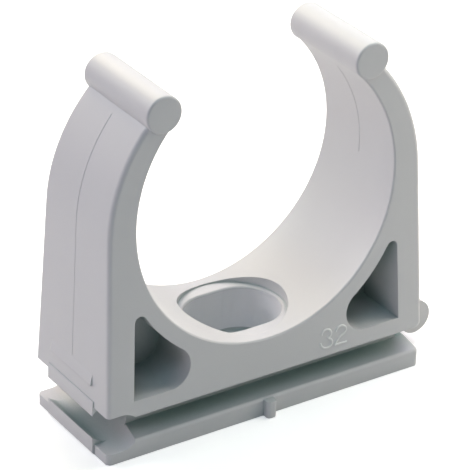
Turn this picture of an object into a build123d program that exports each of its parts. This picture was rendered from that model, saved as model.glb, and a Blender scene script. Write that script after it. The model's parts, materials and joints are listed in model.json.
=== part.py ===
from build123d import *
import math
import os

os.makedirs("parts", exist_ok=True)

# Frame: X runs across the arms, Y along the conduit, Z up from the mounting face.
# The origin lies on the mounting face, straight under the centre of the bore.

# conduit and arms
conduit_diameter = 32.0
floor_height = 9.5  # mounting face to the lowest line of the bore
arm_thickness = 3.35  # side of the bore to the outer wall
arm_thinning = 0.35  # how much thinner the arm is along its curved part
arc_drop = 1.0  # outer curve is centred this far under the bore centre
wall_flare = 2.2  # degrees that each outer wall leans out towards the base
depth_low = 15.7  # front to back, measured at the mounting face
depth_lean = 3.0  # degrees that the front and back faces lean in
edge_round = 0.5
bore_edge_bevel = 0.15
corner_round = 0.8

# round bead on each arm tip
bead_diameter = 4.16
bead_length = 12.5
bead_bite = 0.08  # how far the bead reaches into the bore
bead_angle = 45.2  # degrees above the level of the bore centre
bead_end_round = 0.25

# blind pockets in the four lower corners
pocket_bore_wall = 1.85
pocket_side_wall = 3.15
pocket_floor = 6.95
pocket_web = 2.0
pocket_low_round = 2.45
pocket_top_round = 0.7

# foot: base plate and the neck that carries the body
body_bottom = 4.85
foot_length = 40.1
foot_depth = 14.9
foot_edge = 2.1
foot_crown = 2.6  # height of the plate where it meets the neck
foot_round = 0.4
foot_corner_round = 0.6
neck_depth = 9.35  # also the length of the jaws
neck_end_inset = 1.4  # neck stops this far inside the end of the plate
rib_width = 1.2
rib_proud = 0.9

# screw well in the floor of the bore
well_diameter = 12.0
well_step = 0.14  # flat land under the lowest line of the bore
well_land = 0.1  # narrow ring left at the ends of the slot's lip
slot_width = 8.4
slot_lip_round = 0.3
seat_height = 4.0
screw_hole = 5.0

# snap joint between neighbouring clips
socket_inset = 1.9  # socket axis inside the jaw face
socket_height = 3.5
socket_radius = 2.25
socket_lip_round = 0.4
jaw_proud = 0.15
mouth_low = 2.05
mouth_high = 4.6
mouth_bevel_run = 0.75
mouth_bevel_rise = 0.45
panel_top = 6.45
bar_low = 8.2
bar_top = 9.5
bar_length = 8.4
bar_proud = 0.25  # at its lower edge, and flush at its upper edge
lug_clearance = 0.25
lug_length = 7.0
stem_clearance = 0.3
clip_gap = 0.25  # between two joined clips

bore_radius = conduit_diameter / 2
bore_height = floor_height + bore_radius
outer_radius = bore_radius + arm_thickness - arm_thinning
arc_height = bore_height - arc_drop
flare = math.radians(wall_flare)
lean = math.radians(depth_lean)
tangent_x = arm_thinning + outer_radius * math.cos(flare)
tangent_z = arc_height + outer_radius * math.sin(flare)
bead_radius = bead_diameter / 2
bead_reach = bore_radius + bead_radius - bead_bite
bead_x = bead_reach * math.cos(math.radians(bead_angle))
bead_z = bore_height + bead_reach * math.sin(math.radians(bead_angle))
height = bead_z + bead_radius
reach = 3 * outer_radius


def wall_x(z):
    return tangent_x + (tangent_z - z) * math.tan(flare)


def half_depth(z):
    return depth_low / 2 - z * math.tan(lean)


def polar(centre, radius, angle):
    return (centre[0] + radius * math.cos(angle), centre[1] + radius * math.sin(angle))


def mid_of(edge):
    return edge @ 0.5


foot_end = foot_length / 2
jaw_x = wall_x(body_bottom) + jaw_proud
socket_x = jaw_x - socket_inset
lug_x = jaw_x + wall_x(body_bottom) + clip_gap - socket_x
lug_radius = socket_radius - lug_clearance
stem_height = mouth_high - mouth_low - stem_clearance
land_height = floor_height - well_step

# C-shaped body seen from the front
with BuildPart() as body:
    with BuildSketch(Plane.XZ):
        with BuildLine():
            arc_end = polar((arm_thinning, arc_height), outer_radius, math.radians(75))
            arc_mid = polar((arm_thinning, arc_height), outer_radius, math.radians(40))
            Line((-wall_x(body_bottom), body_bottom), (wall_x(body_bottom), body_bottom))
            Line((wall_x(body_bottom), body_bottom), (tangent_x, tangent_z))
            ThreePointArc((tangent_x, tangent_z), arc_mid, arc_end)
            Line(arc_end, (-arc_end[0], arc_end[1]))
            ThreePointArc((-arc_end[0], arc_end[1]), (-arc_mid[0], arc_mid[1]), (-tangent_x, tangent_z))
            Line((-tangent_x, tangent_z), (-wall_x(body_bottom), body_bottom))
        outline = make_face()
        low_corners = outline.vertices().sort_by(Axis.Z)[0:2]
        fillet(low_corners, radius=corner_round)
        with Locations((0, bore_height)):
            Circle(bore_radius, mode=Mode.SUBTRACT)
        with BuildLine():
            mouth_right = polar((0, bore_height), reach, math.radians(bead_angle))
            Polyline((0, bore_height), mouth_right, (-mouth_right[0], mouth_right[1]), (0, bore_height))
        make_face(mode=Mode.SUBTRACT)
    extrude(amount=depth_low / 2, both=True)
    with BuildSketch(Plane.YZ):
        Polygon(
            (-half_depth(0), 0),
            (half_depth(0), 0),
            (half_depth(height), height),
            (-half_depth(height), height),
            align=None,
        )
    extrude(amount=reach, both=True, mode=Mode.INTERSECT)
    outer_edges = []
    for edge in body.edges():
        spot = mid_of(edge)
        if abs(abs(spot.Y) - half_depth(spot.Z)) > 0.05:
            continue
        from_arc = math.hypot(abs(spot.X) - arm_thinning, spot.Z - arc_height)
        on_wall = abs(abs(spot.X) - wall_x(spot.Z)) < 0.05
        if (on_wall or abs(from_arc - outer_radius) < 0.05) and edge.length > 2 * edge_round:
            outer_edges.append(edge)
    fillet(outer_edges, radius=edge_round)
    bore_edges = []
    for edge in body.edges():
        spot = mid_of(edge)
        on_face = abs(abs(spot.Y) - half_depth(spot.Z)) < 0.05
        on_bore = abs(math.hypot(spot.X, spot.Z - bore_height) - bore_radius) < 0.05
        if on_face and on_bore:
            bore_edges.append(edge)
    chamfer(bore_edges, length=bore_edge_bevel)

# foot plate with a crowned top and softened corners
with BuildPart() as foot:
    with BuildSketch(Plane.YZ):
        Polygon(
            (-foot_depth / 2, 0),
            (foot_depth / 2, 0),
            (foot_depth / 2, foot_edge),
            (neck_depth / 2, foot_crown),
            (-neck_depth / 2, foot_crown),
            (-foot_depth / 2, foot_edge),
            align=None,
        )
    extrude(amount=foot_end, both=True)
    fillet(foot.edges().filter_by(Axis.Z), radius=foot_corner_round)
    rim = [edge for edge in foot.edges() if mid_of(edge).Z > foot_edge - 0.3]
    rim = [edge for edge in rim if abs(mid_of(edge).Y) > neck_depth / 2 + 0.01 or abs(mid_of(edge).X) > foot_end - 0.9]
    fillet(rim, radius=foot_round)

with BuildPart() as clip:
    add(body.part)
    add(foot.part)

    # neck between the foot and the body
    with BuildSketch(Plane.XZ):
        neck_end = foot_end - neck_end_inset
        Polygon(
            (-neck_end, foot_crown / 2),
            (neck_end, foot_crown / 2),
            (neck_end, body_bottom + 0.5),
            (-neck_end, body_bottom + 0.5),
            align=None,
        )
    extrude(amount=neck_depth / 2, both=True)

    # locating rib in the middle of the long faces of the foot
    with BuildSketch(Plane.XY):
        with Locations((0, -foot_depth / 2), (0, foot_depth / 2)):
            RectangleRounded(rib_width, 2 * rib_proud, rib_width * 0.35)
    extrude(amount=foot_edge - 0.1)

    # beads on the arm tips
    with BuildPart(mode=Mode.PRIVATE) as bead:
        with Locations(Location((0, 0, 0), (90, 0, 0))):
            Cylinder(bead_radius, bead_length)
        fillet(bead.edges().filter_by(GeomType.CIRCLE), radius=bead_end_round)
    with Locations((bead_x, 0, bead_z), (-bead_x, 0, bead_z)):
        add(bead.part)

    # raised panel over the socket and the lower jaw
    with BuildSketch(Plane.XZ):
        Polygon(
            (-wall_x(mouth_high) - jaw_proud, mouth_high - mouth_bevel_rise),
            (-wall_x(panel_top) - jaw_proud, panel_top - 0.15),
            (-wall_x(panel_top) - jaw_proud / 2, panel_top),
            (-wall_x(panel_top) + 1, panel_top),
            (-wall_x(mouth_high) + 1, mouth_high - mouth_bevel_rise),
            align=None,
        )
        Polygon(
            (-jaw_x, 0.2),
            (-jaw_x + 0.2, 0),
            (-foot_end + 1, 0),
            (-foot_end + 1, mouth_low),
            (-jaw_x, mouth_low),
            align=None,
        )
    extrude(amount=neck_depth / 2, both=True)

    # wedge-shaped bar above the panel
    with BuildSketch(Plane.XZ):
        Polygon(
            (-wall_x(bar_low) + 1, bar_low),
            (-wall_x(bar_low) - bar_proud, bar_low),
            (-wall_x(bar_top), bar_top),
            (-wall_x(bar_top) + 1, bar_top),
            align=None,
        )
    extrude(amount=bar_length / 2, both=True)

    # snap lug and its stem
    with Locations(Location((lug_x, 0, socket_height), (90, 0, 0))):
        Cylinder(lug_radius, lug_length)
    with BuildSketch(Plane.XZ):
        with Locations(((lug_x + foot_end - neck_end_inset) / 2, socket_height)):
            Rectangle(lug_x - foot_end + neck_end_inset + 1, stem_height)
    extrude(amount=lug_length / 2, both=True)

    # socket: round throat with a narrow mouth between the jaws, open sideways beyond them
    with BuildSketch(Plane.XZ):
        with Locations((-socket_x, socket_height)):
            Circle(socket_radius)
        Polygon(
            (-jaw_x - 1, mouth_low),
            (-jaw_x - 1, mouth_high),
            (-jaw_x, mouth_high),
            (-jaw_x + mouth_bevel_run, mouth_high + mouth_bevel_rise),
            (-socket_x, mouth_high),
            (-socket_x, mouth_low),
            (-jaw_x + mouth_bevel_run, mouth_low - mouth_bevel_rise),
            (-jaw_x, mouth_low),
            align=None,
        )
    extrude(amount=neck_depth / 2, both=True, mode=Mode.SUBTRACT)
    # throat carried on to both faces, its lips against the foot and the body rounded
    with BuildSketch(Plane.XZ, mode=Mode.PRIVATE) as channel:
        with Locations((-socket_x, socket_height)):
            Circle(socket_radius)
        with Locations((-socket_x - reach / 2, socket_height)):
            Rectangle(reach, 2 * socket_radius)
        Polygon(
            (-socket_x, foot_crown),
            (-socket_x + 2 * socket_radius, foot_crown),
            (-socket_x + 2 * socket_radius, body_bottom),
            (-socket_x, body_bottom),
            align=None,
        )
        lips = [v for v in channel.vertices() if socket_radius / 2 < v.X + socket_x < socket_radius]
        fillet(lips, radius=socket_lip_round)
    for side in (1, -1):
        with BuildSketch(Plane.XZ.offset(side * neck_depth / 2)):
            add(channel.sketch_local)
        extrude(amount=side * depth_low, mode=Mode.SUBTRACT)

    # blind pockets, left and right, front and back
    pocket_radius = bore_radius + pocket_bore_wall
    pocket_wall_x = wall_x(bore_height) - pocket_side_wall
    centre = (0, bore_height)
    low_z = pocket_floor + pocket_low_round
    low_x = math.sqrt((pocket_radius + pocket_low_round) ** 2 - (bore_height - low_z) ** 2)
    off = pocket_wall_x * math.cos(flare) - pocket_top_round
    along = math.sqrt((pocket_radius + pocket_top_round) ** 2 - off**2)
    top_x = off * math.cos(flare) + along * math.sin(flare)
    top_z = bore_height + off * math.sin(flare) - along * math.cos(flare)
    low_angle = math.atan2(low_z - bore_height, low_x)
    top_angle = math.atan2(top_z - bore_height, top_x)
    corner_x = pocket_wall_x + (bore_height - pocket_floor) * math.tan(flare)
    floor_point = (low_x, pocket_floor)
    low_point = polar(centre, pocket_radius, low_angle)
    top_point = polar(centre, pocket_radius, top_angle)
    wall_point = polar((top_x, top_z), pocket_top_round, flare)
    with BuildSketch(Plane.XZ, mode=Mode.PRIVATE) as pocket:
        with BuildLine():
            Line((corner_x, pocket_floor), floor_point)
            ThreePointArc(floor_point, polar((low_x, low_z), pocket_low_round, math.pi), low_point)
            ThreePointArc(low_point, polar(centre, pocket_radius, (low_angle + top_angle) / 2), top_point)
            ThreePointArc(top_point, polar((top_x, top_z), pocket_top_round, math.pi / 2), wall_point)
            Line(wall_point, (corner_x, pocket_floor))
        make_face()
        mirror(about=Plane.YZ)
    for side in (1, -1):
        with BuildSketch(Plane.XZ.offset(side * pocket_web / 2)):
            add(pocket.sketch_local)
        extrude(amount=side * depth_low, mode=Mode.SUBTRACT)

    # screw well: shallow round land, slot with a rounded lip, screw hole
    with BuildSketch(Plane.XY.offset(land_height)):
        Circle(well_diameter / 2)
    extrude(amount=bore_radius / 2, mode=Mode.SUBTRACT)
    slot_length = well_diameter - 2 * (well_land + slot_lip_round)
    with BuildSketch(Plane.XY.offset(seat_height)):
        SlotOverall(slot_length, slot_width)
    extrude(amount=land_height - seat_height, mode=Mode.SUBTRACT)
    slot_rim = []
    for edge in clip.edges():
        spot = mid_of(edge)
        if abs(spot.Z - land_height) < 0.01 and math.hypot(spot.X, spot.Y) < slot_length / 2 + 0.01:
            slot_rim.append(edge)
    fillet(slot_rim, radius=slot_lip_round)
    Cylinder(screw_hole / 2, 4 * land_height, mode=Mode.SUBTRACT)

clip.part.label = "conduit_clip"
export_step(clip.part, "parts/conduit_clip.step")
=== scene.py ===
import json
import math

import bpy
from mathutils import Matrix, Vector


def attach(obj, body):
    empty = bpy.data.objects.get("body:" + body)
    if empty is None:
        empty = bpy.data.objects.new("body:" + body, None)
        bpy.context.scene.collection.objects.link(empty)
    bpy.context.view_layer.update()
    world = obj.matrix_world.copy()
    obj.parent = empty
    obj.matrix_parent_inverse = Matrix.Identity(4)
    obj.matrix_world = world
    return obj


print("loading the clip")
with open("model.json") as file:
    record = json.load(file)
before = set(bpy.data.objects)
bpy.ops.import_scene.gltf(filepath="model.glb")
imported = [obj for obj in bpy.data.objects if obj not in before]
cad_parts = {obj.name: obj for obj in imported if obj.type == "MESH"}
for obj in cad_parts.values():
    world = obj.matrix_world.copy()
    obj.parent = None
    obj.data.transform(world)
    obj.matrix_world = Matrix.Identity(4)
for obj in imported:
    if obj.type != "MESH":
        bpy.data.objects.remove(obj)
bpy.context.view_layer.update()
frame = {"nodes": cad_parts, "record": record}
clip = frame["nodes"]["conduit_clip"]
mounts = {m["name"]: m for m in frame["record"]["mounts"]}
seat = mounts["conduit_seat"]
boreRadius = seat["dims"]["r_mm"] / 1000
boreHeight = seat["pos_m"][2]

# sizes of the body that the added pieces follow, in metres
body = {
    "halfDepth": 0.00785,  # half the depth at the mounting face
    "lean": math.radians(3.0),  # front and back faces lean in
    "flare": math.radians(2.2),  # outer walls lean out towards the foot
    "armRadius": boreRadius + 0.003,  # outer arc of an arm
    "armCentre": (0.00035, boreHeight - 0.001),  # its centre, off the bore's axis outwards and down
}


def startClean():
    if bpy.context.object and bpy.context.object.mode != "OBJECT":
        bpy.ops.object.mode_set(mode="OBJECT")
    bpy.ops.object.select_all(action="DESELECT")


def applyPlace(piece):
    startClean()
    piece.select_set(True)
    bpy.context.view_layer.objects.active = piece
    bpy.ops.object.transform_apply(location=True, rotation=True, scale=True)


def startMaterial(name):
    material = bpy.data.materials.new(name)
    material.use_nodes = True
    return material, material.node_tree, material.node_tree.nodes["Principled BSDF"]


def addNode(tree, kind, sockets=None, **settings):
    node = tree.nodes.new(kind)
    for setting, value in settings.items():
        setattr(node, setting, value)
    for socket, value in (sockets or {}).items():
        if isinstance(value, bpy.types.NodeSocket):
            tree.links.new(value, node.inputs[socket])
        else:
            node.inputs[socket].default_value = value
    return node


def mixColours(tree, factor, first, second, blend="MIX"):
    sockets = {"Factor": factor, "A": first, "B": second}
    return addNode(tree, "ShaderNodeMix", sockets, data_type="RGBA", blend_type=blend).outputs["Result"]


def mapRange(tree, value, fromLow, fromHigh, toLow, toHigh, curve="LINEAR"):
    sockets = {
        "Value": value, "From Min": fromLow, "From Max": fromHigh, "To Min": toLow, "To Max": toHigh,
    }
    return addNode(tree, "ShaderNodeMapRange", sockets, interpolation_type=curve).outputs["Result"]


def calculate(tree, operation, *values):
    sockets = dict(enumerate(values))
    return addNode(tree, "ShaderNodeMath", sockets, operation=operation).outputs["Value"]


# light grey moulded plastic with a faint satin grain, with painted shade, darker and greener, deep in
# its hollows and painted light on the slot's walls
plastic = {
    "colour": (0.605, 0.598, 0.615),
    "cloudSize": 0.009,
    "cloudDetail": 3,
    "cloudSpread": 0.02,
    "grainSize": 0.00035,
    "grainDetail": 2,
    "grainDepth": 0.000004,
    "roughness": 0.46,
    "roughnessSpread": 0.08,
    "edgeSoftness": 0.00012,
    # painted shade: the colour that the shade in the hollows is painted with, darker and greener
    "paintedHollowShade": (0.3, 0.48, 0.45),
    "hollowReach": 0.0052,
    "hollowFrom": 0.1,
    "hollowTo": 0.78,
    "hollowSamples": 8,
    # painted light: the slot's walls are painted up to 1.3 times paler
    "paintedWellLight": (1.28, 1.28, 1.3),
    "wellRadius": 0.00565,
    "wellMiddle": 0.0067,  # height of the middle of the slot's walls
    "wellReach": 0.0024,  # from there up and down
}
white = (1, 1, 1, 1)


# mask of the slot's walls, which get the painted light
def findWell(tree, place, look):
    sideways = addNode(tree, "ShaderNodeVectorMath", {0: place, 1: (1, 1, 0)}, operation="MULTIPLY")
    fromAxis = addNode(tree, "ShaderNodeVectorMath", {0: sideways.outputs["Vector"]}, operation="LENGTH")
    height = addNode(tree, "ShaderNodeSeparateXYZ", {"Vector": place}).outputs["Z"]
    nearAxis = calculate(tree, "LESS_THAN", fromAxis.outputs["Value"], look["wellRadius"])
    nearMiddle = calculate(tree, "COMPARE", height, look["wellMiddle"], look["wellReach"])
    return calculate(tree, "MULTIPLY", nearAxis, nearMiddle)


def makePlastic(name, look):
    material, tree, shader = startMaterial(name)
    place = addNode(tree, "ShaderNodeTexCoord").outputs["Object"]

    cloud = addNode(tree, "ShaderNodeTexNoise", {
        "Vector": place, "Scale": 1 / look["cloudSize"], "Detail": look["cloudDetail"],
    })
    darker = [c * (1 - look["cloudSpread"]) for c in look["colour"]]
    paler = [c * (1 + look["cloudSpread"]) for c in look["colour"]]
    tone = mixColours(tree, cloud.outputs["Fac"], (*darker, 1), (*paler, 1))

    # painted shade: the pockets, the groove and the throat count as hollows and are painted darker and
    # greener, and the slot's walls get painted light, a little paler
    hollow = addNode(
        tree, "ShaderNodeAmbientOcclusion", {"Distance": look["hollowReach"]},
        samples=look["hollowSamples"], only_local=True,
    )
    openness = mapRange(
        tree, hollow.outputs["AO"], look["hollowFrom"], look["hollowTo"], 0, 1, "SMOOTHSTEP"
    )
    # painted shade, darker and greener where the ambient occlusion finds the surface closed in
    hollowShade = mixColours(tree, openness, (*look["paintedHollowShade"], 1), white)
    # painted light on the slot's walls in place of the painted shade
    shade = mixColours(tree, findWell(tree, place, look), hollowShade, (*look["paintedWellLight"], 1))
    shaded = mixColours(tree, 1, tone, shade, "MULTIPLY")
    tree.links.new(shaded, shader.inputs["Base Color"])

    grain = addNode(tree, "ShaderNodeTexNoise", {
        "Vector": place, "Scale": 1 / look["grainSize"], "Detail": look["grainDetail"],
    })
    smoothest = look["roughness"] - look["roughnessSpread"]
    roughest = look["roughness"] + look["roughnessSpread"]
    gloss = mapRange(tree, grain.outputs["Fac"], 0, 1, smoothest, roughest)
    tree.links.new(gloss, shader.inputs["Roughness"])

    edge = addNode(tree, "ShaderNodeBevel", {"Radius": look["edgeSoftness"]})
    bump = addNode(tree, "ShaderNodeBump", {
        "Distance": look["grainDepth"], "Normal": edge.outputs["Normal"], "Height": grain.outputs["Fac"],
    })
    tree.links.new(bump.outputs["Normal"], shader.inputs["Normal"])
    return material


print("plastic")
clip.data.materials.clear()
clip.data.materials.append(makePlastic("clipPlastic", plastic))

# size number raised on the front face, as strokes across and up the face in millimetres
sizeMark = {
    "strokes": [
        [(6.65, 7.75), (6.85, 8.2), (7.3, 8.36), (7.78, 8.12), (7.92, 7.72), (7.75, 7.4), (7.44, 7.27)],
        [(7.44, 7.27), (7.84, 7.05), (8.06, 6.65), (7.88, 6.28), (7.3, 6.12), (6.78, 6.36), (6.5, 6.9)],
        [
            (8.5, 7.7), (8.72, 8.08), (9.2, 8.27), (9.7, 8.05),
            (9.88, 7.66), (9.62, 7.3), (9.1, 7.0), (8.66, 6.55),
        ],
        [(8.66, 6.55), (8.4, 6.15)],
        [(8.4, 6.15), (9.98, 6.12)],
    ],
    "strokeRadius": 0.00012,
    "proud": 0.0001,
    "roundness": 3,  # bevel steps of a stroke
    "smoothness": 8,  # steps from one point to the next
    "colour": (0.78, 0.78, 0.78),  # painted highlight: paler, standing in for the light that the strokes catch
}


def makeSizeMark(look):
    startClean()
    curve = bpy.data.curves.new("sizeMark", "CURVE")
    curve.dimensions = "3D"
    curve.bevel_depth = look["strokeRadius"]
    curve.bevel_resolution = look["roundness"]
    curve.resolution_u = look["smoothness"]
    curve.use_fill_caps = True
    outOfFace = look["proud"] - look["strokeRadius"]
    for stroke in look["strokes"]:
        spline = curve.splines.new("BEZIER")
        spline.bezier_points.add(len(stroke) - 1)
        for point, (across, up) in zip(spline.bezier_points, stroke):
            point.co = (across / 1000, up / 1000, outOfFace)
            point.handle_left_type = "AUTO"
            point.handle_right_type = "AUTO"
    mark = bpy.data.objects.new("sizeMark", curve)
    bpy.context.scene.collection.objects.link(mark)
    mark.location = (0, -body["halfDepth"], 0)
    mark.rotation_euler = (math.radians(90) - body["lean"], 0, 0)
    bpy.context.view_layer.objects.active = mark
    mark.select_set(True)
    bpy.ops.object.convert(target="MESH")
    mark = bpy.context.object
    applyPlace(mark)
    bpy.ops.object.shade_smooth()
    mark.data.materials.clear()
    mark.data.materials.append(
        # the strokes' plastic carries a painted highlight, paler than the clip
        makePlastic("strokePlasticPaintedHighlight", dict(plastic, edgeSoftness=0, colour=look["colour"]))
    )
    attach(mark, "root")


print("size number")
makeSizeMark(sizeMark)

# fine ridge left where the mould's halves meet, on the outer walls and arms and at the top of the bore
seam = {
    "width": 0.00015,
    "proud": 0.00004,
    "sunk": 0.00004,
    "wallFoot": 0.0097,  # height where it ends on the wall
    "armTop": math.radians(39),  # this and the next two are up from level
    "boreLow": math.radians(-4),
    "boreTop": math.radians(38),
    "arcSteps": 48,
}
ridgePlastic = makePlastic("ridgePlastic", dict(plastic, edgeSoftness=0))


def startRidge(name, spot, outward, along):
    startClean()
    bpy.ops.mesh.primitive_circle_add(vertices=3, radius=1, fill_type="NGON", location=(0, 0, 0))
    ridge = bpy.context.object
    ridge.name = name
    # such a triangle is 1.5 tall and the root of 3 wide, with its middle a third of the way up
    tall = seam["proud"] + seam["sunk"]
    place = Matrix((outward.cross(along), outward, along)).transposed().to_4x4()
    place.translation = spot + outward * (tall / 3 - seam["sunk"])
    ridge.matrix_world = place @ Matrix.Diagonal((seam["width"] / math.sqrt(3), tall / 1.5, 1, 1))
    applyPlace(ridge)
    bpy.ops.object.mode_set(mode="EDIT")
    bpy.ops.mesh.select_all(action="SELECT")
    return ridge


def finishRidge(ridge):
    bpy.ops.mesh.select_all(action="SELECT")
    bpy.ops.mesh.normals_make_consistent(inside=False)
    bpy.ops.object.mode_set(mode="OBJECT")
    ridge.data.materials.append(ridgePlastic)
    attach(ridge, "root")


def makeWallSeam(name, armCentre, side):
    turn = body["flare"]
    outward = Vector((side * math.cos(turn), 0, math.sin(turn)))
    down = Vector((side * math.sin(turn), 0, -math.cos(turn)))
    top = armCentre + outward * body["armRadius"]
    length = (top.z - seam["wallFoot"]) / math.cos(turn)
    ridge = startRidge(name, top, outward, down)
    bpy.ops.mesh.extrude_region_move(TRANSFORM_OT_translate={"value": down * length})
    finishRidge(ridge)


def makeArcSeam(name, centre, radius, side, low, high, inward=False):
    outward = Vector((side * math.cos(low), 0, math.sin(low)))
    along = Vector((-side * math.sin(low), 0, math.cos(low)))
    ridge = startRidge(name, centre + outward * radius, -outward if inward else outward, along)
    bpy.ops.mesh.spin(steps=seam["arcSteps"], angle=side * (high - low), center=centre, axis=(0, 1, 0))
    finishRidge(ridge)


print("mould seams")
boreCentre = Vector((0, 0, boreHeight))
for side, end in ((-1, "Left"), (1, "Right")):
    armCentre = Vector((side * body["armCentre"][0], 0, body["armCentre"][1]))
    makeWallSeam("wallSeam" + end, armCentre, side)
    makeArcSeam("armSeam" + end, armCentre, body["armRadius"], side, body["flare"], seam["armTop"])
    makeArcSeam("boreSeam" + end, boreCentre, boreRadius, side, seam["boreLow"], seam["boreTop"], True)

# pale floor, plain white to the camera and dimmer in the light that it throws back
studio = {
    "floorColour": (0.9, 0.9, 0.9),
    "bounceColour": (0.85, 0.86, 0.86),
    "floorGlow": 0.42,
    "glowNear": 0.1,
    "glowFar": 0.5,
    "floorReach": 2.0,
    "floorSides": 96,
    "skyStrength": 0.05,
}


def makeFloor(look):
    startClean()
    bpy.ops.mesh.primitive_circle_add(
        vertices=look["floorSides"], radius=look["floorReach"], fill_type="NGON", location=(0, 0, 0)
    )
    floor = bpy.context.object
    floor.name = "studioFloor"
    material, tree, shader = startMaterial("studioFloor")
    seen = addNode(tree, "ShaderNodeLightPath").outputs["Is Camera Ray"]
    colour = mixColours(tree, seen, (*look["bounceColour"], 1), (*look["floorColour"], 1))
    tree.links.new(colour, shader.inputs["Base Color"])
    # it glows more with distance, so that it stays white past the reach of the lamps
    place = addNode(tree, "ShaderNodeTexCoord").outputs["Object"]
    distance = addNode(tree, "ShaderNodeVectorMath", {0: place}, operation="LENGTH").outputs["Value"]
    glow = mapRange(
        tree, distance, look["glowNear"], look["glowFar"], look["floorGlow"], 1, "SMOOTHSTEP"
    )
    tree.links.new(calculate(tree, "MULTIPLY", seen, glow), shader.inputs["Emission Strength"])
    shader.inputs["Emission Color"].default_value = white
    shader.inputs["Roughness"].default_value = 1
    shader.inputs["Specular IOR Level"].default_value = 0
    floor.data.materials.append(material)


def makeSky(look):
    world = bpy.data.worlds.new("studioSky")
    bpy.context.scene.world = world
    world.use_nodes = True
    tree = world.node_tree
    paths = addNode(tree, "ShaderNodeLightPath")
    seen = calculate(tree, "MAXIMUM", paths.outputs["Is Camera Ray"], paths.outputs["Is Glossy Ray"])
    strength = mapRange(tree, seen, 0, 1, look["skyStrength"], 1)
    background = tree.nodes["Background"]
    tree.links.new(strength, background.inputs["Strength"])
    background.inputs["Color"].default_value = white


print("floor and sky")
makeFloor(studio)
makeSky(studio)

# soft boxes: degrees round from the front towards the right, degrees up, metres away and wide, watts
softBoxes = {
    "frontLeftHigh": {
        "round": -45, "up": 55, "away": 0.7, "wide": 0.3, "watts": 0.62, "tint": (0.52, 0.84, 1),
    },
    "rightHigh": {
        "round": 95, "up": 55, "away": 0.7, "wide": 0.3, "watts": 0.6, "tint": (0.8, 0.65, 1),
    },
    "backRight": {
        "round": 140, "up": 35, "away": 0.7, "wide": 0.3, "watts": 1.0, "tint": (0.97, 0.88, 1),
    },
    "backLeft": {
        "round": -135, "up": 35, "away": 0.7, "wide": 0.3, "watts": 1.54, "tint": (0.97, 0.98, 1),
    },
    "backLeftLow": {
        "round": -130, "up": 12, "away": 0.7, "wide": 0.3, "watts": 0.42, "tint": (1, 0.88, 0.92),
    },
    "left": {
        "round": -80, "up": 28, "away": 0.7, "wide": 0.3, "watts": 0.4, "tint": (1, 0.74, 0.9),
    },
    "nearBack": {
        "round": 180, "up": 40, "away": 0.15, "wide": 0.08, "watts": 0.113, "tint": (1, 0.87, 0.68),
    },
    "nearRight": {
        "round": 70, "up": 15, "away": 0.15, "wide": 0.08, "watts": 0.08, "tint": (1, 0.86, 0.75),
    },
    "nearFrontRight": {
        "round": 35, "up": 35, "away": 0.15, "wide": 0.08, "watts": 0.01, "tint": (0.55, 1, 0.82),
    },
    "nearRightHigh": {
        "round": 90, "up": 65, "away": 0.14, "wide": 0.08, "watts": 0.09, "tint": (0.91, 1, 0.84),
    },
}
lampAim = Vector((0, 0, 0.018))


def towards(roundDegrees, upDegrees):
    turn = math.radians(roundDegrees)
    up = math.radians(upDegrees)
    return Vector((math.sin(turn) * math.cos(up), -math.cos(turn) * math.cos(up), math.sin(up)))


def makeSoftBox(name, look):
    lamp = bpy.data.lights.new(name, "AREA")
    lamp.shape = "DISK"
    lamp.size = look["wide"]
    lamp.energy = look["watts"]
    lamp.color = look["tint"]
    box = bpy.data.objects.new(name, lamp)
    bpy.context.scene.collection.objects.link(box)
    back = towards(look["round"], look["up"])
    box.location = lampAim + back * look["away"]
    box.rotation_euler = back.to_track_quat("Z", "Y").to_euler()


print("soft boxes")
for name, look in softBoxes.items():
    makeSoftBox(name, look)

# camera as in the photograph
view = {
    "round": -33.61,
    "up": 28.3,
    "roll": 1.36,
    "away": 0.29046,
    "lens": 208.79,
    "sensor": 36,
    "nearest": 0.01,
    "farthest": 10,
    "target": (0.00013, 0, 0.01842),
}


def makeCamera(look):
    back = towards(look["round"], look["up"])
    right = Vector((0, 0, 1)).cross(back).normalized()
    up = back.cross(right)
    roll = math.radians(look["roll"])
    tiltedRight = right * math.cos(roll) + up * math.sin(roll)
    tiltedUp = up * math.cos(roll) - right * math.sin(roll)
    data = bpy.data.cameras.new("photoCamera")
    data.lens = look["lens"]
    data.sensor_width = look["sensor"]
    data.clip_start = look["nearest"]
    data.clip_end = look["farthest"]
    camera = bpy.data.objects.new("photoCamera", data)
    bpy.context.scene.collection.objects.link(camera)
    place = Matrix((tiltedRight, tiltedUp, back)).transposed().to_4x4()
    place.translation = Vector(look["target"]) + back * look["away"]
    camera.matrix_world = place
    bpy.context.scene.camera = camera


print("camera")
makeCamera(view)
bpy.context.scene.view_settings.view_transform = "Standard"

print("done")
